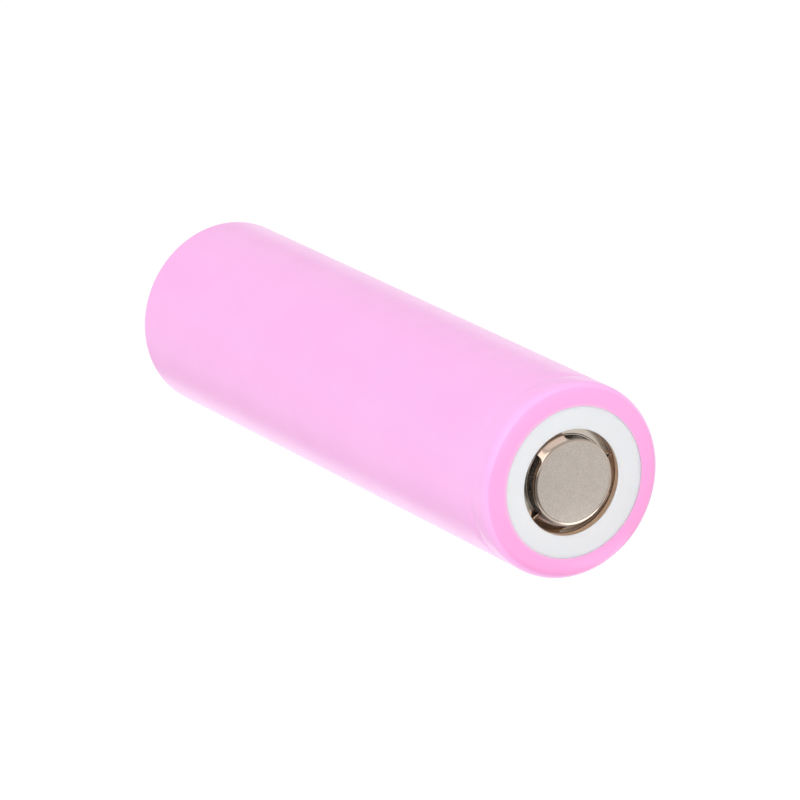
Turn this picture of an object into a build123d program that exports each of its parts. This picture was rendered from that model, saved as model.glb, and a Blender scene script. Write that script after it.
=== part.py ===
from build123d import *
import os

# A wound lithium-ion cell of the standard 18 mm by 65 mm size, lying on its side.
# Every piece is built upright, with the cell's axis on Z and the negative end at height 0.
# lay_down() then turns it along Y, with the positive end towards -Y and the sleeve resting on Z = 0.
# Lengths are in millimetres.

# The whole cell
CELL_LENGTH = 65.0
CELL_RADIUS = 9.2
GAP = 0.02  # left between touching round faces

# Heat-shrink sleeve
SLEEVE_WALL = 0.1
SLEEVE_TOP = CELL_LENGTH - 0.05
SLEEVE_TOP_SHOULDER = 1.0
SLEEVE_FOOT_SHOULDER = 0.7
SLEEVE_TOP_OPENING = 7.13
SLEEVE_FOOT_OPENING = 7.2
WAIST_DEPTH = 0.1
WAIST_HALF_HEIGHT = 0.75
WAIST_ROUND = 2.5

# White insulator washer under the sleeve's top lip
WASHER_THICKNESS = 0.18
WASHER_TOP = SLEEVE_TOP - SLEEVE_WALL - 0.01
WASHER_RADIUS = 8.2
WASHER_HOLE = 4.99
WASHER_DISH_START = 6.8
WASHER_DISH_DEPTH = 0.23

# Steel can with a rolled bead and a crimped lip
CAN_WALL = 0.25
CAN_RADIUS = CELL_RADIUS - SLEEVE_WALL - GAP
CAN_BORE = CAN_RADIUS - CAN_WALL
CAN_FOOT = SLEEVE_WALL + GAP
CAN_FLOOR = CAN_FOOT + CAN_WALL
CAN_TOP = WASHER_TOP - WASHER_THICKNESS - 0.01
CAN_FOOT_CORNER = 0.65
CAN_FACE_RISE = 0.04  # the flat face of the foot stands proud, inside the sleeve's opening
CAN_FACE_RADIUS = SLEEVE_FOOT_OPENING - 0.15
CAN_FACE_ROUND = 0.3
CRIMP_CORNER = 0.7
CRIMP_EDGE = 6.9
BEAD_HEIGHT = SLEEVE_TOP - 2.9
BEAD_BOTTOM_RADIUS = 7.95
BEAD_HALF_WIDTH = 0.35
BEAD_MOUTH_ROUND = 0.35
BEAD_BOTTOM_ROUND = 0.3

# Crimp gasket round the edge of the lid
GASKET_WALL = 0.4
GASKET_RADIUS = CAN_BORE - GAP
GASKET_BORE = GASKET_RADIUS - GASKET_WALL
GASKET_TOP = CAN_TOP - CAN_WALL - GAP
GASKET_FOOT = BEAD_HEIGHT + BEAD_HALF_WIDTH + CAN_WALL + GAP
GASKET_TOP_EDGE = 6.6
GASKET_FOOT_EDGE = 7.0
GASKET_FOOT_THICKNESS = 0.35
GASKET_FOOT_CORNER = 0.2

# Lid stack, from the top down
LID_RADIUS = GASKET_BORE - GAP
CAP_THICKNESS = 0.3
CAP_FLANGE_TOP = GASKET_TOP - GASKET_WALL - GAP
CAP_CROWN_CORNER = 3.98
CAP_FOOT_CORNER = 4.97
CAP_CROWN_ROUND = 0.9
CAP_FOOT_ROUND = 0.35
CAP_LEGS = 3
CAP_LEG_WIDTH = 3.05
WINDOW_INNER_RADIUS = 4.02
WINDOW_OUTER_RADIUS = 4.93
WINDOW_CORNER = 0.3
PTC_THICKNESS = 0.3
PTC_HOLE = 4.0
PTC_TOP = CAP_FLANGE_TOP - CAP_THICKNESS - GAP
VENT_THICKNESS = 0.25
VENT_TOP = PTC_TOP - PTC_THICKNESS - GAP
VENT_RIM_RADIUS = 5.6
VENT_DISH_RADIUS = 4.7
VENT_DISH_DEPTH = 0.77
VENT_RIM_ROUND = 0.35
VENT_NOSE_RADIUS = 1.35
VENT_NOSE_DEPTH = 1.0
VENT_NOSE_TIP_RADIUS = 0.75
VENT_NOSE_ROUND = 0.3
VENT_SCORE_RADIUS = 3.4
VENT_SCORE_DEPTH = 0.1
VENT_SCORE_WIDTH = 0.3
VENT_SCORE_ANGLE = 300
CID_RADIUS = 6.1
CID_THICKNESS = 0.4
CID_FOOT = 61.5
CID_HOLE = 1.6
CID_GAS_HOLES = 6
CID_GAS_HOLE_RADIUS = 0.6
CID_GAS_CIRCLE = 3.9
WELD_PLATE_RADIUS = 2.4
WELD_PLATE_THICKNESS = 0.15
WELD_PLATE_HOLE = 0.25
HOLDER_RADIUS = 6.75
HOLDER_TOP_EDGE = 5.8
HOLDER_FOOT_EDGE = 5.6
HOLDER_LIP = 0.22

# Insulator discs above and below the winding
DISC_RADIUS = 8.6
DISC_THICKNESS = 0.2
DISC_HOLE = 1.7
TOP_DISC_FOOT = 59.45
TOP_DISC_GAS_HOLES = 3
TOP_DISC_GAS_HOLE_RADIUS = 1.1
TOP_DISC_GAS_CIRCLE = 5.6
FOOT_DISC_FOOT = 0.52

# Tabs
TAB_WIDTH = 3.5
TAB_THICKNESS = 0.1
TAB_SLOT_WIDTH = 0.7
TAB_SLOT_LENGTH = TAB_WIDTH + 0.5
TAB_RUN_HEIGHT = 60.4
TAB_FOLD_X = 4.9
TAB_WELD_END_X = WELD_PLATE_RADIUS + 0.2
TAB_TAPE_LENGTH = 5.0
POSITIVE_TAB_X = -4.6
POSITIVE_TAB_ROUND = 0.4
NEGATIVE_TAB_X = -5.5
NEGATIVE_TAB_END_X = 1.6
NEGATIVE_TAB_ROUND = 0.2
CONTACT_GAP = 0.01  # left between touching flat faces
TAPE_THICKNESS = 0.06

# Winding: a spiral of half turns whose centres alternate, so that every sheet keeps its distance
WINDING_START = 1.7
WINDING_PITCH = 0.46
HALF_TURNS = 28
SHEET_GAP = 0.015
SEPARATOR_THICKNESS = 0.02
FOIL_THICKNESS = 0.02
ANODE_COATING = 0.07
CATHODE_COATING = 0.06
ANODE_SKIPS = 2  # half turns left bare of anode at each end of the winding
CATHODE_SKIPS = 3
WINDING_FOOT = 0.95
WINDING_TOP = 59.2
ANODE_INSET = 0.5
CATHODE_INSET = 1.0
END_TAPE_FOOT = 8.0
END_TAPE_HEIGHT = 44.0
END_TAPE_START = 200
END_TAPE_SWEEP = 140
PIN_RADIUS = 1.5
PIN_WALL = 0.2
PIN_FOOT = 1.6
PIN_HEIGHT = 56.8
PIN_SLIT = 0.3


def lay_down(solid):
    """Turns an upright piece along Y and lifts it so that the cell rests on Z = 0."""
    return Pos(0, CELL_LENGTH / 2, CELL_RADIUS) * Rot(90, 0, 0) * solid


def ring(outer, inner, foot, height):
    """A flat ring about the axis."""
    return Pos(0, 0, foot) * extrude(Circle(outer) - Circle(inner), amount=height)


def turned(section):
    """A section drawn with X as radius and Y as height, turned about the axis."""
    return revolve(Plane.XZ * section, Axis.Z)


def formed_sheet(points, rounds, wall, side=Side.RIGHT):
    """A pressed sheet of even thickness: its section follows the points, with rounded corners."""
    path = FilletPolyline(*points, radius=rounds)
    return turned(make_face(offset(path, amount=wall, side=side, closed=True).edges()))


def ring_section(points):
    """A solid ring whose section has the given corners."""
    return turned(make_face(Polyline(*points, close=True).edges()))


def shrink_sleeve():
    points = [
        (SLEEVE_TOP_OPENING, SLEEVE_TOP),
        (CELL_RADIUS, SLEEVE_TOP),
        (CELL_RADIUS, BEAD_HEIGHT + WAIST_HALF_HEIGHT),
        (CELL_RADIUS - WAIST_DEPTH, BEAD_HEIGHT),
        (CELL_RADIUS, BEAD_HEIGHT - WAIST_HALF_HEIGHT),
        (CELL_RADIUS, 0),
        (SLEEVE_FOOT_OPENING, 0),
    ]
    rounds = [SLEEVE_TOP_SHOULDER, WAIST_ROUND, WAIST_ROUND, WAIST_ROUND, SLEEVE_FOOT_SHOULDER]
    return formed_sheet(points, rounds, SLEEVE_WALL)


def insulator_washer():
    """A thin washer, flat under the sleeve and dished slightly inwards towards its hole."""
    dished_top = WASHER_TOP - WASHER_DISH_DEPTH
    return ring_section(
        [
            (WASHER_RADIUS, WASHER_TOP),
            (WASHER_DISH_START, WASHER_TOP),
            (WASHER_HOLE, dished_top),
            (WASHER_HOLE, dished_top - WASHER_THICKNESS),
            (WASHER_DISH_START, WASHER_TOP - WASHER_THICKNESS),
            (WASHER_RADIUS, WASHER_TOP - WASHER_THICKNESS),
        ]
    )


def steel_can():
    """Deep-drawn can: crimped lip at the top, bead below the lid, flat foot with its face coined proud."""
    points = [
        (CRIMP_EDGE, CAN_TOP),
        (CAN_RADIUS, CAN_TOP),
        (CAN_RADIUS, BEAD_HEIGHT + BEAD_HALF_WIDTH),
        (BEAD_BOTTOM_RADIUS, BEAD_HEIGHT + BEAD_HALF_WIDTH),
        (BEAD_BOTTOM_RADIUS, BEAD_HEIGHT - BEAD_HALF_WIDTH),
        (CAN_RADIUS, BEAD_HEIGHT - BEAD_HALF_WIDTH),
        (CAN_RADIUS, CAN_FOOT),
        (SLEEVE_FOOT_OPENING, CAN_FOOT),
        (CAN_FACE_RADIUS, CAN_FOOT - CAN_FACE_RISE),
        (0, CAN_FOOT - CAN_FACE_RISE),
    ]
    rounds = [
        CRIMP_CORNER,
        BEAD_MOUTH_ROUND,
        BEAD_BOTTOM_ROUND,
        BEAD_BOTTOM_ROUND,
        BEAD_MOUTH_ROUND,
        CAN_FOOT_CORNER,
        CAN_FACE_ROUND,
        CAN_FACE_ROUND,
    ]
    return formed_sheet(points, rounds, CAN_WALL)


def crimp_gasket():
    """A C-shaped ring that holds the edge of the lid and insulates it from the can."""
    outside = make_face(
        Polyline(
            (GASKET_TOP_EDGE, GASKET_TOP),
            (GASKET_RADIUS, GASKET_TOP),
            (GASKET_RADIUS, GASKET_FOOT),
            (GASKET_TOP_EDGE, GASKET_FOOT),
            close=True,
        ).edges()
    )
    corners = outside.vertices().group_by(Axis.X)[-1].sort_by(Axis.Y)
    outside = fillet(corners[1], CRIMP_CORNER - CAN_WALL + GAP)
    foot_corner = outside.vertices().group_by(Axis.Y)[0].sort_by(Axis.X)[-1]
    outside = fillet(foot_corner, GASKET_FOOT_CORNER)
    throat_top = GASKET_TOP - GASKET_WALL
    throat_foot = GASKET_FOOT + GASKET_FOOT_THICKNESS
    throat = Pos(GASKET_BORE / 2, (throat_top + throat_foot) / 2) * Rectangle(
        GASKET_BORE, throat_top - throat_foot
    )
    below_edge = Pos(GASKET_FOOT_EDGE / 2, GASKET_FOOT) * Rectangle(
        GASKET_FOOT_EDGE, 2 * GASKET_FOOT_THICKNESS
    )
    return turned(outside - throat - below_edge)


def positive_cap():
    """Pressed cap: flat crown on sloping legs, with windows between the legs, and a wide flange."""
    points = [
        (0, CELL_LENGTH),
        (CAP_CROWN_CORNER, CELL_LENGTH),
        (CAP_FOOT_CORNER, CAP_FLANGE_TOP),
        (LID_RADIUS, CAP_FLANGE_TOP),
    ]
    shell = formed_sheet(points, [CAP_CROWN_ROUND, CAP_FOOT_ROUND], CAP_THICKNESS)
    windows = Circle(WINDOW_OUTER_RADIUS) - Circle(WINDOW_INNER_RADIUS)
    for leg in range(CAP_LEGS):
        strap = Rot(0, 0, leg * 360 / CAP_LEGS) * Pos(CAP_FOOT_CORNER / 2, 0)
        windows -= strap * Rectangle(1.5 * CAP_FOOT_CORNER, CAP_LEG_WIDTH)
    windows = fillet(windows.vertices(), WINDOW_CORNER)
    cap_height = CELL_LENGTH - CAP_FLANGE_TOP + CAP_THICKNESS
    return shell - Pos(0, 0, CELL_LENGTH - 1.5 * cap_height) * extrude(windows, amount=2 * cap_height)


def ptc_washer():
    return ring(LID_RADIUS, PTC_HOLE, PTC_TOP - PTC_THICKNESS, PTC_THICKNESS)


def safety_vent():
    """Aluminium disc, dished towards the winding, with a scored ring and a nose welded at its centre."""
    nose_top = CID_FOOT + VENT_THICKNESS + CONTACT_GAP
    points = [
        (LID_RADIUS, VENT_TOP),
        (VENT_RIM_RADIUS, VENT_TOP),
        (VENT_DISH_RADIUS, VENT_TOP - VENT_DISH_DEPTH),
        (VENT_NOSE_RADIUS, VENT_TOP - VENT_NOSE_DEPTH),
        (VENT_NOSE_TIP_RADIUS, nose_top),
        (0, nose_top),
    ]
    rounds = [VENT_RIM_ROUND, VENT_RIM_ROUND, VENT_NOSE_ROUND, VENT_NOSE_ROUND]
    disc = formed_sheet(points, rounds, VENT_THICKNESS, Side.LEFT)
    slope = (VENT_NOSE_DEPTH - VENT_DISH_DEPTH) / (VENT_DISH_RADIUS - VENT_NOSE_RADIUS)
    score_height = VENT_TOP - VENT_DISH_DEPTH - slope * (VENT_DISH_RADIUS - VENT_SCORE_RADIUS)
    score_section = Pos(VENT_SCORE_RADIUS, score_height) * Rectangle(VENT_SCORE_WIDTH, 2 * VENT_SCORE_DEPTH)
    return disc - revolve(Plane.XZ * score_section, Axis.Z, VENT_SCORE_ANGLE)


def vent_holder():
    """Plastic ring that carries the disconnect plate below the vent and keeps the two apart."""
    top = VENT_TOP - VENT_THICKNESS - GAP
    foot = CID_FOOT - HOLDER_LIP - GAP
    wall_radius = CID_RADIUS + GAP
    return ring_section(
        [
            (HOLDER_TOP_EDGE, top),
            (HOLDER_RADIUS, top),
            (HOLDER_RADIUS, foot),
            (HOLDER_FOOT_EDGE, foot),
            (HOLDER_FOOT_EDGE, foot + HOLDER_LIP),
            (wall_radius, foot + HOLDER_LIP),
            (wall_radius, top - HOLDER_LIP),
            (HOLDER_TOP_EDGE, top - HOLDER_LIP),
        ]
    )


def disconnect_plate():
    """Perforated aluminium plate under the vent; current reaches the vent only through its centre."""
    plate = ring(CID_RADIUS, CID_HOLE, CID_FOOT, CID_THICKNESS)
    for hole in PolarLocations(CID_GAS_CIRCLE, CID_GAS_HOLES, start_angle=30):
        plate -= hole * Pos(0, 0, CID_FOOT) * Cylinder(CID_GAS_HOLE_RADIUS, 3 * CID_THICKNESS)
    return plate


def weld_plate():
    """Thin foil disc under the disconnect plate, which tears free of the vent's nose."""
    foot = CID_FOOT - GAP - WELD_PLATE_THICKNESS
    return ring(WELD_PLATE_RADIUS, WELD_PLATE_HOLE, foot, WELD_PLATE_THICKNESS)


def tab_strip(points, rounds, side):
    """A flat tab that follows the points in the XZ plane, its thickness on the given side of them."""
    path = FilletPolyline(*points, radius=rounds)
    section = make_face(offset(path, amount=TAB_THICKNESS, side=side, closed=True).edges())
    return extrude(Plane.XZ * section, amount=TAB_WIDTH / 2, both=True)


def positive_tab():
    """Aluminium strip from the cathode, folded under the lid and welded to the disconnect plate."""
    weld_height = CID_FOOT - GAP - TAB_THICKNESS
    points = [
        (POSITIVE_TAB_X, WINDING_TOP + GAP),
        (POSITIVE_TAB_X, TAB_RUN_HEIGHT),
        (TAB_FOLD_X, TAB_RUN_HEIGHT),
        (TAB_FOLD_X, weld_height),
        (TAB_WELD_END_X, weld_height),
    ]
    return tab_strip(points, 3 * [POSITIVE_TAB_ROUND], Side.RIGHT)


def positive_tab_tape():
    """Insulating tape wrapped once round the middle of the folded positive tab."""
    hole = Box(2 * TAB_TAPE_LENGTH, TAB_WIDTH + 2 * GAP, TAB_THICKNESS + 2 * GAP)
    wrap_width = TAB_WIDTH + 2 * (GAP + TAPE_THICKNESS)
    wrap_height = TAB_THICKNESS + 2 * (GAP + TAPE_THICKNESS)
    wrap = Box(TAB_TAPE_LENGTH, wrap_width, wrap_height) - hole
    return Pos(0, 0, TAB_RUN_HEIGHT - TAB_THICKNESS / 2) * wrap


def insulator_disc(foot, tab_x):
    """A disc with a centre hole and a slot for one tab."""
    disc = ring(DISC_RADIUS, DISC_HOLE, foot, DISC_THICKNESS)
    return disc - Pos(tab_x, 0, foot) * Box(TAB_SLOT_WIDTH, TAB_SLOT_LENGTH, 3 * DISC_THICKNESS)


def top_insulator():
    disc = insulator_disc(TOP_DISC_FOOT, POSITIVE_TAB_X)
    for hole in PolarLocations(TOP_DISC_GAS_CIRCLE, TOP_DISC_GAS_HOLES, start_angle=-60, angular_range=180):
        disc -= hole * Pos(0, 0, TOP_DISC_FOOT) * Cylinder(TOP_DISC_GAS_HOLE_RADIUS, 3 * DISC_THICKNESS)
    return disc


def negative_tab():
    """Nickel strip from the anode, folded under the lower disc and welded to the can's floor."""
    points = [
        (NEGATIVE_TAB_X, WINDING_FOOT - GAP),
        (NEGATIVE_TAB_X, CAN_FLOOR + CONTACT_GAP),
        (NEGATIVE_TAB_END_X, CAN_FLOOR + CONTACT_GAP),
    ]
    return tab_strip(points, [NEGATIVE_TAB_ROUND], Side.LEFT)


def half_turn(index, distance):
    """One half turn of the spiral, at a distance outside its base curve."""
    step = WINDING_PITCH / 2
    centre_x = step * (index % 2)
    radius = WINDING_START + index * step + distance
    return CenterArc((centre_x, 0), radius, 180 * (index % 2), 180)


def wound_sheet(distance, thickness, skips, inset):
    """One wound sheet, leaving out some half turns at both ends of the spiral."""
    turns = range(skips, HALF_TURNS - skips)
    inner = [half_turn(index, distance) for index in turns]
    outer = [half_turn(index, distance + thickness) for index in turns]
    ends = [Line(inner[0] @ 0, outer[0] @ 0), Line(inner[-1] @ 1, outer[-1] @ 1)]
    section = make_face([edge for line in inner + outer + ends for edge in line.edges()])
    height = WINDING_TOP - WINDING_FOOT - 2 * inset
    return Pos(0, 0, WINDING_FOOT + inset) * extrude(section, amount=height)


def winding():
    """The eight wound sheets, from the inside of one pitch outwards."""
    layers = [
        ("separator_inner", SEPARATOR_THICKNESS, 0, 0),
        ("anode_coating_inner", ANODE_COATING, ANODE_SKIPS, ANODE_INSET),
        ("anode_foil", FOIL_THICKNESS, ANODE_SKIPS, ANODE_INSET),
        ("anode_coating_outer", ANODE_COATING, ANODE_SKIPS, ANODE_INSET),
        ("separator_outer", SEPARATOR_THICKNESS, 0, 0),
        ("cathode_coating_inner", CATHODE_COATING, CATHODE_SKIPS, CATHODE_INSET),
        ("cathode_foil", FOIL_THICKNESS, CATHODE_SKIPS, CATHODE_INSET),
        ("cathode_coating_outer", CATHODE_COATING, CATHODE_SKIPS, CATHODE_INSET),
    ]
    sheets = {}
    distance = 0.0
    for name, thickness, skips, inset in layers:
        sheets[name] = wound_sheet(distance, thickness, skips, inset)
        distance += thickness + SHEET_GAP
    return sheets


def winding_tape():
    """Tape over the outer end of the winding, on the last half turn."""
    centre = (WINDING_PITCH / 2, 0)
    radius = WINDING_START + (HALF_TURNS - 1) * WINDING_PITCH / 2 + WINDING_PITCH + GAP
    inner = CenterArc(centre, radius, END_TAPE_START, END_TAPE_SWEEP)
    outer = CenterArc(centre, radius + TAPE_THICKNESS, END_TAPE_START, END_TAPE_SWEEP)
    ends = [Line(inner @ 0, outer @ 0), Line(inner @ 1, outer @ 1)]
    section = make_face([edge for line in [inner, outer, *ends] for edge in line.edges()])
    return Pos(0, 0, END_TAPE_FOOT) * extrude(section, amount=END_TAPE_HEIGHT)


def centre_pin():
    """Rolled steel tube in the hole of the winding, with a slit along its length."""
    tube = ring(PIN_RADIUS, PIN_RADIUS - PIN_WALL, PIN_FOOT, PIN_HEIGHT)
    return tube - Pos(0, PIN_RADIUS, PIN_FOOT + PIN_HEIGHT / 2) * Box(PIN_SLIT, PIN_RADIUS, 2 * PIN_HEIGHT)


def main():
    os.makedirs("parts", exist_ok=True)
    pieces = {
        "shrink_sleeve": shrink_sleeve(),
        "insulator_washer": insulator_washer(),
        "steel_can": steel_can(),
        "crimp_gasket": crimp_gasket(),
        "positive_cap": positive_cap(),
        "ptc_washer": ptc_washer(),
        "safety_vent": safety_vent(),
        "vent_holder": vent_holder(),
        "disconnect_plate": disconnect_plate(),
        "weld_plate": weld_plate(),
        "positive_tab": positive_tab(),
        "positive_tab_tape": positive_tab_tape(),
        "top_insulator": top_insulator(),
        "foot_insulator": insulator_disc(FOOT_DISC_FOOT, NEGATIVE_TAB_X),
        "negative_tab": negative_tab(),
        "winding_tape": winding_tape(),
        "centre_pin": centre_pin(),
        **winding(),
    }
    for name, solid in pieces.items():
        export_step(lay_down(solid), f"parts/{name}.step")


main()
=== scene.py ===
import math
import random

import bpy
import mathutils
import numpy as np
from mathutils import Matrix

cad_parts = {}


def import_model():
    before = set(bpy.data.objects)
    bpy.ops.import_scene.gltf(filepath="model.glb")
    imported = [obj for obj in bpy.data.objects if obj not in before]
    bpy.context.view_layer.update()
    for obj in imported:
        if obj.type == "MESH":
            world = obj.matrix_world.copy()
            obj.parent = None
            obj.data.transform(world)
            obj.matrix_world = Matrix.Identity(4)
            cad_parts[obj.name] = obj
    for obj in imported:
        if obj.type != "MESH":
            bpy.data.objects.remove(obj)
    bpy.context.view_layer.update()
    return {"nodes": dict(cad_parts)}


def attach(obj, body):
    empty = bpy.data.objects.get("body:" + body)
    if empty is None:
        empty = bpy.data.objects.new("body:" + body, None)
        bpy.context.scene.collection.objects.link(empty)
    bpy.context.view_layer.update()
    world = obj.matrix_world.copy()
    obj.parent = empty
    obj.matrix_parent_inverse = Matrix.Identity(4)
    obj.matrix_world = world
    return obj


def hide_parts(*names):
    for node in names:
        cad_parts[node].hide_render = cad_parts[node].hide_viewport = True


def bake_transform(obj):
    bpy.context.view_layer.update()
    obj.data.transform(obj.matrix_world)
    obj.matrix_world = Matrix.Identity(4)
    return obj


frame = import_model()

MM = 0.001

# The upright cell, in millimetres: heights count from its negative end.
CELL_LENGTH = 65.0
CELL_RADIUS = 9.2
SLEEVE_TOP = 64.95
BEAD_HEIGHT = 62.05
LID_RADIUS = 8.39

# The lying cell, in metres.
AXIS_HEIGHT = CELL_RADIUS * MM
POSITIVE_END = -CELL_LENGTH / 2 * MM

SEGMENTS = 288
ON_AXIS = 1e-6
WHITE = (1.0, 1.0, 1.0, 1.0)
random.seed(7)


# ---------------------------------------------------------------- meshes


def place(radius, height, angle):
    """A point of the upright cell, in millimetres, as a point of the lying cell in metres."""
    return (
        radius * math.cos(angle) * MM,
        (CELL_LENGTH / 2 - height) * MM,
        AXIS_HEIGHT + radius * math.sin(angle) * MM,
    )


def rounded(points, rounds, step=6):
    """The corners of a (radius, height) line replaced by arcs, about one point every few degrees."""
    out = [points[0]]
    for i, size in enumerate(rounds, start=1):
        corner = np.array(points[i], float)
        before = np.array(points[i - 1], float) - corner
        after = np.array(points[i + 1], float) - corner
        before /= np.linalg.norm(before)
        after /= np.linalg.norm(after)
        half = math.acos(max(-1.0, min(1.0, float(before @ after)))) / 2
        bisector = (before + after) / np.linalg.norm(before + after)
        centre = corner + bisector * size / math.sin(half)
        first = corner + before * size / math.tan(half) - centre
        last = corner + after * size / math.tan(half) - centre
        sweep = math.pi - 2 * half
        count = max(2, round(math.degrees(sweep) / step))
        for k in range(count + 1):
            t = k / count
            mixed = (math.sin((1 - t) * sweep) * first + math.sin(t * sweep) * last) / math.sin(sweep)
            out.append(tuple(centre + mixed))
    out.append(points[-1])
    return out


def thinned(line, longest):
    """The line with extra points, so that no straight stretch is longer than the given length."""
    out = [line[0]]
    for a, b in zip(line, line[1:]):
        count = max(1, math.ceil(math.dist(a, b) / longest))
        for k in range(1, count + 1):
            out.append((a[0] + (b[0] - a[0]) * k / count, a[1] + (b[1] - a[1]) * k / count))
    return out


def offset_line(line, wall):
    """The line moved sideways by a wall thickness, to its left as it runs."""
    p = np.array(line, float)
    d = np.gradient(p, axis=0)
    d /= np.linalg.norm(d, axis=1)[:, None]
    moved = p + wall * np.stack([-d[:, 1], d[:, 0]], axis=1)
    moved[:, 0] = np.maximum(moved[:, 0], 0.0)
    return [tuple(q) for q in moved]


def new_object(name, vertices, faces, smooth=True):
    mesh = bpy.data.meshes.new(name)
    mesh.from_pydata(vertices, [], faces)
    mesh.update()
    if smooth:
        mesh.shade_smooth()
    obj = bpy.data.objects.new(name, mesh)
    bpy.context.scene.collection.objects.link(obj)
    return obj


def add_face(faces, loop):
    """Add a face, unless fewer than three of its corners differ."""
    corners = [v for j, v in enumerate(loop) if v != loop[j - 1]]
    if len(corners) >= 3:
        faces.append(corners)


def lathe(name, section, shape=None):
    """A closed (radius, height) section turned about the cell's axis.
    shape(radius, height, angle) may return a slightly different radius and height."""
    vertices, rows = [], []
    for radius, height in section:
        if radius < ON_AXIS:
            rows.append([len(vertices)] * SEGMENTS)
            vertices.append(place(0.0, height, 0.0))
            continue
        row = []
        for k in range(SEGMENTS):
            angle = 2 * math.pi * k / SEGMENTS
            r, h = shape(radius, height, angle) if shape else (radius, height)
            row.append(len(vertices))
            vertices.append(place(r, h, angle))
        rows.append(row)
    faces = []
    count = len(rows)
    for i in range(count):
        low, high = rows[i], rows[(i + 1) % count]
        for k in range(SEGMENTS):
            m = (k + 1) % SEGMENTS
            add_face(faces, [low[k], low[m], high[m], high[k]])
    return new_object(name, vertices, faces)


def sheet_section(line, wall):
    """The closed section of a sheet: the line, then its offset on the way back, with rounded edges."""
    back = offset_line(line, wall)

    def rounded_edge(a, b, outward):
        bulge, parts = 0.8, 6
        a, b, outward = np.array(a), np.array(b), np.array(outward, float)
        middle, half = (a + b) / 2, (b - a) / 2
        outward = outward / np.linalg.norm(outward) * np.linalg.norm(half) * bulge
        points = []
        for k in range(1, parts):
            t = math.pi * k / parts
            points.append(tuple(middle - half * math.cos(t) + outward * math.sin(t)))
        return points

    section = list(line)
    if line[-1][0] > ON_AXIS:
        out = np.array(line[-1]) - np.array(line[-2])
        section += rounded_edge(line[-1], back[-1], out)
    section += back[::-1]
    if line[0][0] > ON_AXIS:
        out = np.array(line[0]) - np.array(line[1])
        section += rounded_edge(back[0], line[0], out)
    return section


# ---------------------------------------------------------------- materials


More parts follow.
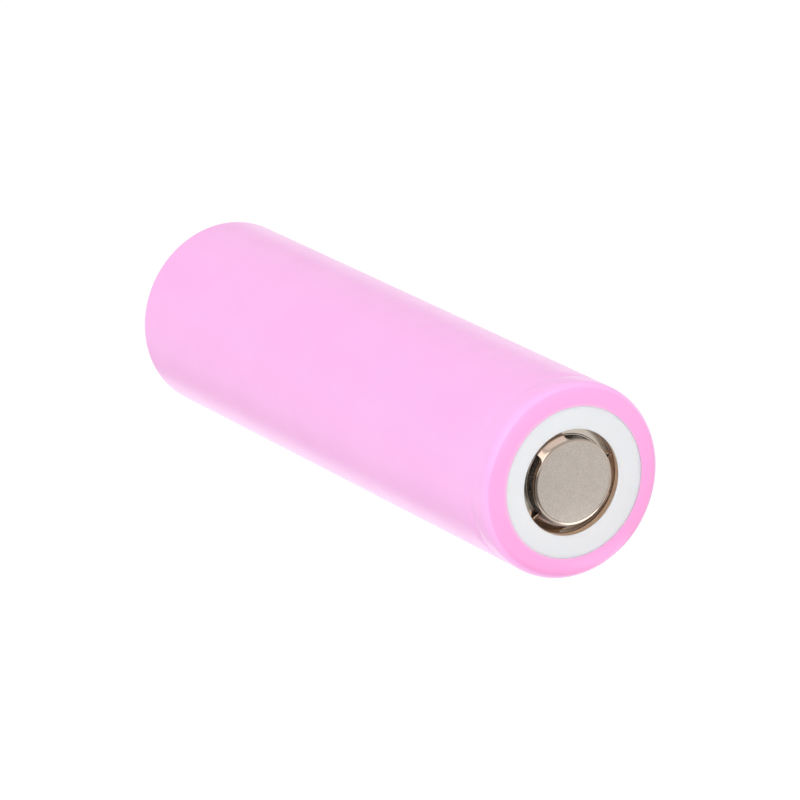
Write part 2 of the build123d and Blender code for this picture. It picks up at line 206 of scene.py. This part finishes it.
class Nodes:
    """A small helper that builds one procedural material."""

    def __init__(self, name):
        self.material = bpy.data.materials.new(name)
        self.material.use_nodes = True
        self.tree = self.material.node_tree
        self.tree.nodes.clear()
        self.output = self.add("ShaderNodeOutputMaterial")
        self.shader = self.add("ShaderNodeBsdfPrincipled")
        self.join(self.shader.outputs["BSDF"], self.output.inputs["Surface"])
        self.coordinates = self.add("ShaderNodeTexCoord").outputs["Object"]

    def add(self, kind, **settings):
        node = self.tree.nodes.new(kind)
        for key, value in settings.items():
            setattr(node, key, value)
        return node

    def join(self, a, b):
        self.tree.links.new(a, b)

    def stretched(self, scale):
        """Object coordinates scaled by three factors, for directional textures."""
        mapping = self.add("ShaderNodeMapping")
        mapping.inputs["Scale"].default_value = scale
        self.join(self.coordinates, mapping.inputs["Vector"])
        return mapping.outputs["Vector"]

    def noise(self, scale, detail=3.0, roughness=0.55, vector=None, distortion=0.0):
        node = self.add("ShaderNodeTexNoise")
        node.inputs["Scale"].default_value = scale
        node.inputs["Detail"].default_value = detail
        node.inputs["Roughness"].default_value = roughness
        node.inputs["Distortion"].default_value = distortion
        self.join(vector or self.coordinates, node.inputs["Vector"])
        return node.outputs["Fac"]

    def math(self, operation, a, b=None):
        node = self.add("ShaderNodeMath", operation=operation)
        for socket, value in zip(node.inputs, (a, b)):
            if isinstance(value, (int, float)):
                socket.default_value = value
            elif value is not None:
                self.join(value, socket)
        return node.outputs[0]

    def ramp(self, value, low, high, to_low, to_high, **settings):
        """A straight change of a value, from to_low at low to to_high at high."""
        node = self.add("ShaderNodeMapRange", **settings)
        for name, number in (("From Min", low), ("From Max", high), ("To Min", to_low), ("To Max", to_high)):
            node.inputs[name].default_value = number
        self.join(value, node.inputs["Value"])
        return node.outputs["Result"]

    def fade(self, value, low, high, to_low=0.0, to_high=1.0):
        """A smooth step of a value, from to_low at low to to_high at high."""
        return self.ramp(value, low, high, to_low, to_high, interpolation_type="SMOOTHSTEP")

    def blend(self, factor, a, b):
        node = self.add("ShaderNodeMix", data_type="RGBA")
        self.join(factor, node.inputs[0])
        for socket, value in ((node.inputs[6], a), (node.inputs[7], b)):
            if isinstance(value, tuple):
                socket.default_value = (*value, 1.0)
            else:
                self.join(value, socket)
        return node.outputs[2]

    def place_parts(self):
        """Place across the cell, along it and above its axis, in metres."""
        split = self.add("ShaderNodeSeparateXYZ")
        self.join(self.coordinates, split.inputs[0])
        lifted = self.math("SUBTRACT", split.outputs["Z"], AXIS_HEIGHT)
        return split.outputs["X"], split.outputs["Y"], lifted

    def distance(self, a, b):
        """The length of a flat vector that has these two parts."""
        squares = self.math("ADD", self.math("POWER", a, 2.0), self.math("POWER", b, 2.0))
        return self.math("SQRT", squares)

    def radius(self):
        """Distance from the cell's axis, in metres."""
        across, _, lifted = self.place_parts()
        return self.distance(across, lifted)

    def painted_shade_ramp(self):
        """How far the painted shade reaches: 0 at the upper left of the positive end's face, 1 at its lower
        right.
        """
        across, _, lifted = self.place_parts()
        rightward, downward, reach = 0.55, 0.85, 7 * MM
        towards = self.math("SUBTRACT", self.math("MULTIPLY", across, rightward),
                            self.math("MULTIPLY", lifted, downward))
        return self.ramp(towards, -reach, reach, 0.0, 1.0)

    def bump(self, height, strength, distance, normal=None):
        node = self.add("ShaderNodeBump")
        node.inputs["Strength"].default_value = strength
        node.inputs["Distance"].default_value = distance
        self.join(height, node.inputs["Height"])
        if normal is not None:
            self.join(normal, node.inputs["Normal"])
        return node.outputs["Normal"]

    def finish(self, colour=None, roughness=None, normal=None, **values):
        if colour is not None:
            self.join(colour, self.shader.inputs["Base Color"])
        if roughness is not None:
            self.join(roughness, self.shader.inputs["Roughness"])
        if normal is not None:
            self.join(normal, self.shader.inputs["Normal"])
        for key, value in values.items():
            self.shader.inputs[key.replace("_", " ")].default_value = value
        return self.material


def sleeve_material():
    """Glossy pink film: lighter over the barrel, deeper where it is shrunk over the ends, where painted shade
    darkens it towards the lower right.
    """
    n = Nodes("pink_shrink_film")
    _, along, _ = n.place_parts()
    shrunk_top = n.fade(along, -32.18 * MM, -32.32 * MM)
    shrunk_foot = n.fade(along, 32.1 * MM, 32.5 * MM)
    shrunk = n.math("MAXIMUM", shrunk_top, shrunk_foot)
    fringe = n.fade(n.radius(), 7.4 * MM, 7.05 * MM)
    cloud = n.fade(n.noise(160.0, 3.0), 0.3, 0.7)
    grain = n.noise(2600.0, 2.0)
    barrel = n.blend(cloud, (0.955, 0.462, 0.838), (0.975, 0.482, 0.858))
    ends = n.blend(cloud, (0.96, 0.404, 0.765), (0.975, 0.422, 0.782))
    # Painted shade: the deeper pink of the ends darkens further towards the lower right of the face.
    ends = n.blend(n.painted_shade_ramp(), ends, (0.96, 0.364, 0.705))
    ends = n.blend(fringe, ends, (0.93, 0.50, 0.77))
    colour = n.blend(shrunk, barrel, ends)
    speck = n.fade(n.noise(5200.0, 1.0), 0.72, 0.8)
    colour = n.blend(n.math("MULTIPLY", speck, 0.12), colour, (0.86, 0.36, 0.72))
    peel = n.bump(n.noise(900.0, 2.0), 0.12, 0.00004)
    normal = n.bump(grain, 0.08, 0.00001, peel)
    roughness = n.ramp(n.noise(420.0, 3.0), 0.25, 0.75, 0.2, 0.27)
    return n.finish(colour, roughness, normal, IOR=1.45)


def washer_material():
    """Smooth white fibre sheet with a faint cloudy tone and painted shade that darkens it towards the lower
    right.
    """
    n = Nodes("white_washer_sheet")
    cloud = n.fade(n.noise(260.0, 4.0), 0.3, 0.7)
    colour = n.blend(cloud, (0.885, 0.866, 0.852), (0.915, 0.896, 0.882))
    # Painted shade: the white darkens towards the lower right of the face.
    colour = n.blend(n.painted_shade_ramp(), colour, (0.775, 0.757, 0.765))
    fibre = n.noise(1.0, 3.0, vector=n.stretched((9000.0, 9000.0, 3500.0)))
    normal = n.bump(fibre, 0.25, 0.000006)
    roughness = n.ramp(fibre, 0.3, 0.7, 0.42, 0.55)
    n.shader.inputs["Subsurface Radius"].default_value = (1.0, 0.85, 0.7)
    return n.finish(colour, roughness, normal, IOR=1.45, Subsurface_Weight=0.9, Subsurface_Scale=0.0005)


def cap_material():
    """Nickel-plated steel: satin grain on the crown, shiny where it is rolled, matt on the flange; painted
    shade darkens the legs to brown and painted light turns the flange a bright tan.
    """
    n = Nodes("satin_nickel_cap")
    radius = n.radius()
    rolled = n.fade(radius, 3.70 * MM, 3.76 * MM)
    leg = n.fade(radius, 4.0 * MM, 4.2 * MM)
    flange = n.fade(radius, 5.02 * MM, 5.08 * MM)
    grain = n.noise(1.0, 3.0, 0.7, vector=n.stretched((5200.0, 5200.0, 8000.0)))
    blotch = n.noise(1500.0, 4.0, 0.6)
    pits = n.fade(n.noise(4200.0, 2.0), 0.66, 0.8)
    crown = n.blend(n.fade(blotch, 0.3, 0.7), (0.577, 0.513, 0.458), (0.627, 0.561, 0.505))
    crown = n.blend(n.fade(grain, 0.3, 0.6, 0.75, 0.0), crown, (0.42, 0.37, 0.33))
    crown = n.blend(n.math("MULTIPLY", pits, 0.35), crown, (0.36, 0.31, 0.27))
    colour = n.blend(rolled, crown, (0.53, 0.447, 0.38))
    # Painted shade: the legs are painted a darker brown than the crown.
    colour = n.blend(leg, colour, (0.45, 0.345, 0.285))
    # Painted light: the flange is painted a bright warm tan, standing in for the light and reflections that
    # reach it through the windows.
    colour = n.blend(flange, colour, (0.95, 0.76, 0.60))
    rough_crown = n.ramp(grain, 0.3, 0.7, 0.34, 0.48)
    roughness = n.math("MULTIPLY", rough_crown, n.ramp(rolled, 0.0, 1.0, 1.0, 0.3))
    roughness = n.math("MAXIMUM", roughness, n.math("MULTIPLY", flange, 0.55))
    coarse = n.bump(grain, 0.35, 0.000008)
    normal = n.bump(blotch, 0.25, 0.000012, coarse)
    return n.finish(colour, roughness, normal, Metallic=1.0)


def metal(name, light, dark, rough, turned_marks=0.0):
    """A plated or rolled metal with fine grain and, if asked, rings left by turning or drawing."""
    n = Nodes(name)
    cloud = n.fade(n.noise(320.0, 4.0), 0.3, 0.7)
    colour = n.blend(cloud, dark, light)
    grain = n.noise(6000.0, 3.0, 0.65)
    normal = n.bump(grain, 0.2, 0.000005)
    if turned_marks:
        rings = n.add("ShaderNodeTexNoise", noise_dimensions="1D")
        rings.inputs["Scale"].default_value = 9000.0
        rings.inputs["Detail"].default_value = 2.0
        n.join(n.radius(), rings.inputs["W"])
        normal = n.bump(rings.outputs["Fac"], turned_marks, 0.000006, normal)
    roughness = n.ramp(grain, 0.3, 0.7, rough * 0.8, rough * 1.25)
    return n.finish(colour, roughness, normal, Metallic=1.0)


def drawn_can_material():
    """Nickel-plated can: fine drawing lines along the wall and light scuffs on the foot."""
    n = Nodes("drawn_nickel_can")
    cloud = n.fade(n.noise(240.0, 4.0), 0.3, 0.7)
    colour = n.blend(cloud, (0.60, 0.555, 0.50), (0.68, 0.635, 0.58))
    scuff = n.noise(1.0, 4.0, 0.7, vector=n.stretched((500.0, 300.0, 5200.0)), distortion=0.6)
    colour = n.blend(n.math("MULTIPLY", n.fade(scuff, 0.62, 0.75), 0.35), colour, (0.46, 0.42, 0.37))
    grain = n.noise(7000.0, 3.0, 0.65)
    normal = n.bump(n.fade(scuff, 0.5, 0.8), 0.2, 0.000006, n.bump(grain, 0.2, 0.000005))
    roughness = n.ramp(grain, 0.3, 0.7, 0.24, 0.36)
    return n.finish(colour, roughness, normal, Metallic=1.0)


def plastic(name, light, dark, rough, scale=700.0, relief=0.15):
    """A moulded, cut or coated surface with cloudy colour and fine relief."""
    n = Nodes(name)
    cloud = n.fade(n.noise(scale * 0.4, 4.0), 0.3, 0.7)
    colour = n.blend(cloud, dark, light)
    grain = n.noise(scale * 8, 3.0, 0.6)
    normal = n.bump(grain, relief, 0.00001)
    roughness = n.ramp(n.noise(scale * 2, 3.0), 0.3, 0.7, rough * 0.85, rough * 1.15)
    return n.finish(colour, roughness, normal)


def paint(obj, material):
    obj.data.materials.clear()
    obj.data.materials.append(material)


# ---------------------------------------------------------------- the cell's visible pieces

WAVES = [(random.uniform(2, 9), random.uniform(0, 6.28), random.uniform(0.2, 1.0)) for _ in range(9)]


def ripple(angle, shift=0.0):
    """A gentle, repeatable unevenness round the cell, between about -1 and 1."""
    total = 0.0
    for count, phase, size in WAVES:
        total += size * math.sin(round(count) * angle + phase + shift)
    return total / 3.0


def build_sleeve():
    """The film: a lip over both ends, a slight waist over the can's bead, a sharper shoulder at the foot."""
    wall, lip_start, waist_radius, half_waist = 0.1, 8.2, 9.1, 0.75
    top_hole, foot_hole = 7.13, 7.2
    top_round, waist_round, foot_round = 1.0, 2.5, 0.25
    barrel_start, unevenness = 8.9, 0.004
    off_centre_across, off_centre_up, pulled_back = 0.14, -0.08, 0.03
    line = rounded(
        [(top_hole, SLEEVE_TOP), (CELL_RADIUS, SLEEVE_TOP), (CELL_RADIUS, BEAD_HEIGHT + half_waist),
         (waist_radius, BEAD_HEIGHT), (CELL_RADIUS, BEAD_HEIGHT - half_waist), (CELL_RADIUS, 0.0),
         (foot_hole, 0.0)],
        [top_round, waist_round, waist_round, waist_round, foot_round],
    )
    # The wall lies to the right of the line as it runs down the outside.
    section = sheet_section(thinned(line, 0.6), -wall)

    def shape(radius, height, angle):
        """Wavy lips, with the top one off centre, and a barrel that is not quite round."""
        lip = max(0.0, min(1.0, (lip_start - radius) / 1.0))
        if height > CELL_LENGTH / 2:
            edge = 0.012 * ripple(angle) * lip
            edge += (off_centre_across * math.cos(angle) + off_centre_up * math.sin(angle) + pulled_back) * lip
        else:
            edge = 0.05 * ripple(angle, 1.7) * lip
        wave = 0.0
        if radius > barrel_start:
            wave = -unevenness - unevenness * ripple(angle, height * 0.11)
        return radius + edge + wave, height

    return lathe("sleeve_film", section, shape)


def build_washer():
    """The white ring, dished slightly inwards, with its hole a little off centre."""
    top, thick, dish = 64.84, 0.15, 0.13
    outside, dish_start, hole = 8.2, 6.8, 5.03
    off_centre_across, off_centre_up = -0.03, -0.08
    line = rounded([(outside, top), (dish_start, top), (hole, top - dish)], [4.0], step=1)
    section = sheet_section(thinned(line, 0.4), thick)

    def shape(radius, height, angle):
        inward = max(0.0, min(1.0, (dish_start - radius) / 1.8))
        shift = (off_centre_across * math.cos(angle) + off_centre_up * math.sin(angle)) * inward
        return radius + shift, height

    return lathe("white_washer", section, shape)


def build_can():
    """The can, from its crimped lip over the bead and down the wall to the slightly raised foot."""
    top, wall, outside, lip = 64.65, 0.25, 9.08, 6.9
    groove, half_bead = 7.95, 0.35
    foot, foot_edge, step_edge, raised_foot = 0.12, 7.2, 7.05, 0.08
    bead_top, bead_foot = BEAD_HEIGHT + half_bead, BEAD_HEIGHT - half_bead
    line = rounded(
        [(lip, top), (outside, top), (outside, bead_top), (groove, bead_top), (groove, bead_foot),
         (outside, bead_foot), (outside, foot), (foot_edge, foot), (step_edge, raised_foot),
         (0.0, raised_foot)],
        [0.7, 0.35, 0.3, 0.3, 0.35, 0.65, 0.3, 0.3],
    )
    return lathe("drawn_can", sheet_section(thinned(line, 1.2), -wall))


def build_ptc():
    """A flat ring with a low bead round its hole."""
    top, foot, corner, bead = 63.64, 63.34, 0.06, 0.09
    hole, bead_edge, bead_foot, seam = 4.0, 4.2, 4.24, 6.0
    section = rounded(
        [(seam, top), (LID_RADIUS, top), (LID_RADIUS, foot), (hole, foot), (hole, top + bead),
         (bead_edge, top + bead), (bead_foot, top), (seam, top)],
        [corner, corner, corner, bead, bead, 0.02], step=15,
    )
    return lathe("ptc_ring", section[:-1])


def build_vent():
    """A flat rim, a sloping dish and a nose in the middle."""
    top, wall, nose = 63.32, 0.25, 61.76
    line = rounded(
        [(LID_RADIUS, top), (5.6, top), (4.7, top - 0.77), (1.35, top - 1.0), (0.75, nose), (0.0, nose)],
        [0.35, 0.35, 0.3, 0.3],
    )
    return lathe("vent_disc", sheet_section(thinned(line, 0.3), wall))


def build_cap():
    """The pressed cap as one grid: rings of radius, with columns that follow the edges of the three legs."""
    crown_top, flange_top, wall = CELL_LENGTH, 63.96, 0.3
    crown_corner, flange_corner = 3.97, 4.95
    half_width, corner = 1.525, 0.3
    inner, outer, slack = 4.02, 4.93, 1e-6
    legs, leg_columns, window_columns, corner_steps = 3, 20, 44, 6
    pitch = 2 * math.pi / legs
    line = rounded([(0.0, crown_top), (crown_corner, crown_top), (flange_corner, flange_top),
                    (LID_RADIUS, flange_top)], [0.55, 0.35], step=4)
    line = thinned(line, 0.35)
    below = offset_line(line, -wall)

    def edge(radius):
        """Half the angle that a leg takes at a radius; its edges flare into round corners."""
        r = min(max(radius, inner), outer)
        depth = min(r - inner, outer - r)
        flare = 0.0
        if depth < corner:
            flare = corner - math.sqrt(max(0.0, corner**2 - (corner - depth) ** 2))
        return math.asin((half_width + flare) / r)

    def height_on(side, radius):
        return float(np.interp(radius, [p[0] for p in side], [p[1] for p in side]))

    rise = [corner * (1 - math.cos(math.pi / 2 * k / corner_steps)) for k in range(corner_steps + 1)]
    steps = [inner + r for r in rise] + [outer - r for r in rise]
    solid = [p[0] for p in line if not inner < p[0] < outer]
    radii = sorted(set(round(r, 5) for r in solid + steps))
    radii = [r for i, r in enumerate(radii) if i == 0 or r - radii[i - 1] > 1e-4]
    columns = []
    for leg in range(legs):
        columns += [(leg, "leg", k / leg_columns) for k in range(leg_columns)]
        columns += [(leg, "window", k / window_columns) for k in range(window_columns)]

    def angle_of(column, radius):
        leg, kind, t = column
        e, start = edge(radius), leg * pitch
        if kind == "leg":
            return start - e + 2 * e * t
        return start + e + (pitch - 2 * e) * t

    def sheet_rows(side):
        """One row of vertex numbers for each radius, on the sheet's upper or lower side."""
        rows = []
        for radius in radii:
            if radius < ON_AXIS:
                rows.append([len(vertices)] * len(columns))
                vertices.append(place(0.0, height_on(side, 0.0), 0.0))
                continue
            rows.append(list(range(len(vertices), len(vertices) + len(columns))))
            for column in columns:
                vertices.append(place(radius, height_on(side, radius), angle_of(column, radius)))
        return rows

    def is_open(i, c):
        in_window = columns[c][1] == "window"
        return in_window and radii[i] >= inner - slack and radii[i + 1] <= outer + slack

    vertices, faces = [], []
    top, foot = sheet_rows(line), sheet_rows(below)
    total = len(columns)
    for i in range(len(radii) - 1):
        for c in range(total):
            m = (c + 1) % total
            if is_open(i, c):
                if not is_open(i - 1, c):
                    add_face(faces, [top[i][m], top[i][c], foot[i][c], foot[i][m]])
                if not is_open(i + 1, c):
                    add_face(faces, [top[i + 1][c], top[i + 1][m], foot[i + 1][m], foot[i + 1][c]])
                if not is_open(i, c - 1):
                    add_face(faces, [top[i][c], top[i + 1][c], foot[i + 1][c], foot[i][c]])
                if not is_open(i, m):
                    add_face(faces, [top[i + 1][m], top[i][m], foot[i][m], foot[i + 1][m]])
                continue
            add_face(faces, [top[i][c], top[i + 1][c], top[i + 1][m], top[i][m]])
            add_face(faces, [foot[i][m], foot[i + 1][m], foot[i + 1][c], foot[i][c]])
    for c in range(total):
        m = (c + 1) % total
        add_face(faces, [top[-1][c], foot[-1][c], foot[-1][m], top[-1][m]])
    cap = new_object("pressed_cap", vertices, faces)
    bevel = cap.modifiers.new("worn_edges", "BEVEL")
    bevel.width = 0.035 * MM
    bevel.segments = 3
    bevel.limit_method = "ANGLE"
    bevel.angle_limit = math.radians(50)
    return cap


sleeve = build_sleeve()
washer = build_washer()
can = build_can()
ptc = build_ptc()
vent = build_vent()
cap = build_cap()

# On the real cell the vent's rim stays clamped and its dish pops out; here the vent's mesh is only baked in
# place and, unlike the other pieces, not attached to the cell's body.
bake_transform(vent)

for piece, node in ((sleeve, "shrink_sleeve"), (washer, "insulator_washer"), (can, "steel_can"),
                    (ptc, "ptc_washer"), (cap, "positive_cap"), (vent, "safety_vent")):
    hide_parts(node)
    if piece is not vent:
        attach(piece, "cell")

paint(sleeve, sleeve_material())
paint(washer, washer_material())
paint(can, drawn_can_material())
paint(cap, cap_material())
paint(ptc, metal("nickel_foil_ring", (0.62, 0.55, 0.48), (0.54, 0.475, 0.41), 0.22, 0.2))
paint(vent, metal("vent_aluminium_sheet", (0.74, 0.72, 0.70), (0.66, 0.64, 0.62), 0.25, 0.2))

# ---------------------------------------------------------------- the hidden pieces keep their CAD meshes

HIDDEN = {
    "crimp_gasket": ("gasket", plastic("natural_gasket", (0.80, 0.81, 0.83), (0.72, 0.73, 0.75), 0.4)),
    "vent_holder": ("holder_plastic",
                    plastic("natural_holder", (0.84, 0.84, 0.81), (0.76, 0.76, 0.73), 0.42)),
    "disconnect_plate": ("plate_aluminium",
                         metal("stamped_plate", (0.82, 0.82, 0.83), (0.74, 0.74, 0.75), 0.34)),
    "weld_plate": ("plate_aluminium", metal("weld_foil", (0.82, 0.82, 0.83), (0.72, 0.72, 0.73), 0.3)),
    "positive_tab": ("tab_aluminium",
                     metal("soft_aluminium_strip", (0.84, 0.84, 0.85), (0.76, 0.76, 0.77), 0.3)),
    "positive_tab_tape": ("tab_tape",
                          plastic("amber_tape", (0.60, 0.26, 0.03), (0.48, 0.19, 0.02), 0.2, 900.0)),
    "top_insulator": ("insulator_film",
                      plastic("frosted_film", (0.80, 0.82, 0.84), (0.72, 0.74, 0.77), 0.5)),
    "foot_insulator": ("insulator_film",
                       plastic("frosted_foot_film", (0.80, 0.82, 0.84), (0.72, 0.74, 0.77), 0.5)),
    "negative_tab": ("tab_nickel", metal("nickel_strip", (0.70, 0.66, 0.60), (0.62, 0.58, 0.52), 0.28)),
    "winding_tape": ("winding_tape",
                     plastic("green_tape", (0.05, 0.30, 0.09), (0.03, 0.22, 0.06), 0.25, 900.0)),
    "centre_pin": ("pin_steel", metal("rolled_pin_steel", (0.60, 0.60, 0.60), (0.50, 0.50, 0.50), 0.3)),
    "anode_foil": ("copper_foil", metal("copper_sheet", (0.86, 0.48, 0.32), (0.76, 0.40, 0.26), 0.3)),
    "cathode_foil": ("aluminium_foil",
                     metal("aluminium_sheet", (0.84, 0.84, 0.85), (0.76, 0.76, 0.77), 0.28)),
}
separator_film = plastic("white_separator", (0.88, 0.88, 0.87), (0.82, 0.82, 0.81), 0.55)
graphite = plastic("graphite_coat", (0.045, 0.045, 0.05), (0.03, 0.03, 0.034), 0.7, 1500.0, 0.4)
oxide = plastic("black_oxide_coat", (0.03, 0.03, 0.032), (0.018, 0.018, 0.02), 0.6, 1500.0, 0.4)
for side in ("inner", "outer"):
    HIDDEN[f"separator_{side}"] = ("separator", separator_film)
    HIDDEN[f"anode_coating_{side}"] = ("anode_coating", graphite)
    HIDDEN[f"cathode_coating_{side}"] = ("cathode_coating", oxide)
for node, (slot_name, material) in HIDDEN.items():
    paint(frame["nodes"][node], material)

# ---------------------------------------------------------------- floor, light, camera


FLOOR_REACH = 4.0


def floor_plane(name, height, material):
    corners = [(x * FLOOR_REACH, y * FLOOR_REACH, height) for x, y in ((-1, -1), (1, -1), (1, 1), (-1, 1))]
    floor = new_object(name, corners, [(0, 1, 2, 3)], smooth=False)
    floor.data.materials.append(material)
    return floor


def glowing_floor(name, height, strength, seen_by, tone=None):
    """A large flat sheet of light, seen by one kind of ray only. It is even, unless a tone patterns it."""
    n = Nodes(name + "_paint")
    n.shader.inputs["Base Color"].default_value = (0.02, 0.02, 0.02, 1.0)
    n.shader.inputs["Emission Color"].default_value = WHITE
    if tone:
        n.join(tone(n), n.shader.inputs["Emission Color"])
    material = n.finish(Emission_Strength=strength, Roughness=0.95, Specular_IOR_Level=0.0)
    floor = floor_plane(name, height, material)
    for ray in ("camera", "diffuse", "glossy", "transmission", "volume_scatter", "shadow"):
        setattr(floor, "visible_" + ray, ray == seen_by)


def mirrored_tone(n):
    """The floor as the shiny parts mirror it. It isn't plain: its strips, dim areas and bright patch are
    placed to put chosen reflections in the sleeve and the cap."""
    across, along, _ = n.place_parts()

    def before(value, low, high):
        """1 below low, 0 above high."""
        return n.fade(value, low * MM, high * MM, 1.0, 0.0)

    def after(value, low, high):
        """0 below low, 1 above high."""
        return n.fade(value, low * MM, high * MM)

    def spot(x, y, inner, outer):
        """1 within the inner distance of a place on the floor, 0 beyond the outer one."""
        distance = n.distance(n.math("SUBTRACT", across, x * MM), n.math("SUBTRACT", along, y * MM))
        return before(distance, inner, outer)

    def both(a, b):
        return n.math("MULTIPLY", a, b)

    def grey(value):
        return (value, value, value)

    beside = n.math("ABSOLUTE", across)
    glow = n.blend(after(beside, 6, 9), grey(0.58), grey(0.34))
    glow = n.blend(after(beside, 11, 16), glow, grey(0.47))
    dim_left = both(before(across, 3, 6), before(along, -46, -41))
    glow = n.blend(dim_left, glow, grey(0.12))
    dark_patch = both(spot(-5, -33, 2, 8), before(along, -32.5, -31.5))
    glow = n.blend(dark_patch, glow, grey(0.1))
    dim_band = both(after(along, -47.5, -46.5), before(along, -43.5, -42.5))
    glow = n.blend(both(dim_band, after(across, 0, 2)), glow, grey(0.2))
    bright_patch = spot(6.5, -36.8, 4.5, 5.5)
    return n.blend(bright_patch, glow, grey(1.2))


def build_floor():
    """A plain white floor for the camera, an even one that lights the cell, and one that only shows in
    reflections. They lie just under the cell, a hundredth of a millimetre apart."""
    gap = 0.01 * MM
    glowing_floor("studio_floor", -gap, 1.02, "camera")
    glowing_floor("studio_floor_light", -2 * gap, 0.87, "diffuse")
    glowing_floor("studio_floor_mirrored", -3 * gap, 2.0, "glossy", mirrored_tone)


def area_light(name, location, target, size, power):
    light = bpy.data.lights.new(name, "AREA")
    light.shape = "RECTANGLE"
    light.size, light.size_y = size
    light.energy = power
    obj = bpy.data.objects.new(name, light)
    obj.location = location
    direction = np.array(target, float) - np.array(location, float)
    obj.rotation_mode = "QUATERNION"
    obj.rotation_quaternion = mathutils.Vector(direction).to_track_quat("-Z", "Y")
    bpy.context.scene.collection.objects.link(obj)
    return obj


def build_world():
    """A soft white tent, with a level of its own for the camera, for soft light and for reflections. Only
    the reflected one is uneven: it is brighter near the horizon."""
    seen_level, soft_level = 1.02, 0.85
    horizon_level, upper_level, horizon, upper = 1.04, 0.69, 0.05, 0.26
    world = bpy.data.worlds.new("white_tent")
    world.use_nodes = True
    tree = world.node_tree
    tree.nodes.clear()
    split = tree.nodes.new("ShaderNodeSeparateXYZ")
    tree.links.new(tree.nodes.new("ShaderNodeTexCoord").outputs["Generated"], split.inputs[0])
    path = tree.nodes.new("ShaderNodeLightPath")

    def even_sky(level):
        background = tree.nodes.new("ShaderNodeBackground")
        background.inputs["Color"].default_value = WHITE
        background.inputs["Strength"].default_value = level
        return background

    def mirrored_sky():
        """A background whose level changes with the height of the direction."""
        background = even_sky(horizon_level)
        rise = tree.nodes.new("ShaderNodeMapRange")
        for key, value in (("From Min", horizon), ("From Max", upper),
                           ("To Min", horizon_level), ("To Max", upper_level)):
            rise.inputs[key].default_value = value
        tree.links.new(split.outputs["Z"], rise.inputs["Value"])
        tree.links.new(rise.outputs["Result"], background.inputs["Strength"])
        return background

    def choose(ray, otherwise, chosen):
        mix = tree.nodes.new("ShaderNodeMixShader")
        tree.links.new(path.outputs[ray], mix.inputs[0])
        tree.links.new(otherwise, mix.inputs[1])
        tree.links.new(chosen, mix.inputs[2])
        return mix.outputs[0]

    soft, seen = even_sky(soft_level).outputs[0], even_sky(seen_level).outputs[0]
    lighting = choose("Is Glossy Ray", soft, mirrored_sky().outputs[0])
    whole = choose("Is Camera Ray", lighting, seen)
    output = tree.nodes.new("ShaderNodeOutputWorld")
    tree.links.new(whole, output.inputs["Surface"])
    bpy.context.scene.world = world


def build_camera():
    """The camera stands off the positive end, to its left, looking slightly down along the cell."""
    azimuth, elevation = math.radians(-30.114), math.radians(16.485)
    rightward, upward, distance = -15.628, 7.4135, 602.95
    data = bpy.data.cameras.new("photo_camera")
    camera = bpy.data.objects.new("photo_camera", data)
    bpy.context.scene.collection.objects.link(camera)
    back = np.array([math.sin(azimuth) * math.cos(elevation), -math.cos(azimuth) * math.cos(elevation),
                     math.sin(elevation)])
    right = np.array([math.cos(azimuth), math.sin(azimuth), 0.0])
    up = np.cross(back, right)
    face = np.array([0.0, POSITIVE_END, AXIS_HEIGHT])
    camera.location = face + (rightward * right + upward * up + distance * back) * MM
    turned = mathutils.Matrix(np.stack([right, up, back], axis=1).tolist())
    camera.rotation_mode = "QUATERNION"
    camera.rotation_quaternion = turned.to_quaternion()
    data.sensor_width = 36.0
    data.lens = 301.46
    data.clip_start, data.clip_end = 0.01, 60.0
    bpy.context.scene.camera = camera


def build_lights():
    """A soft box overhead, a lamp in the same place that only shows in reflections, and one at the left."""
    overhead, overhead_size = (-0.05, -0.36, 0.92), (0.8, 0.5)
    area_light("overhead_softbox", overhead, (0, 0, 0), overhead_size, 0.95)
    glint = area_light("overhead_glint", overhead, (0, 0, 0), overhead_size, 1.3)
    glint.visible_diffuse = False
    area_light("key_softbox", (-0.35, -0.45, 0.26), (0, -0.03, 0.01), (0.36, 0.5), 1.0)


build_floor()
build_world()
build_camera()
build_lights()

scene = bpy.context.scene
scene.view_settings.view_transform = "Standard"
scene.view_settings.look = "None"
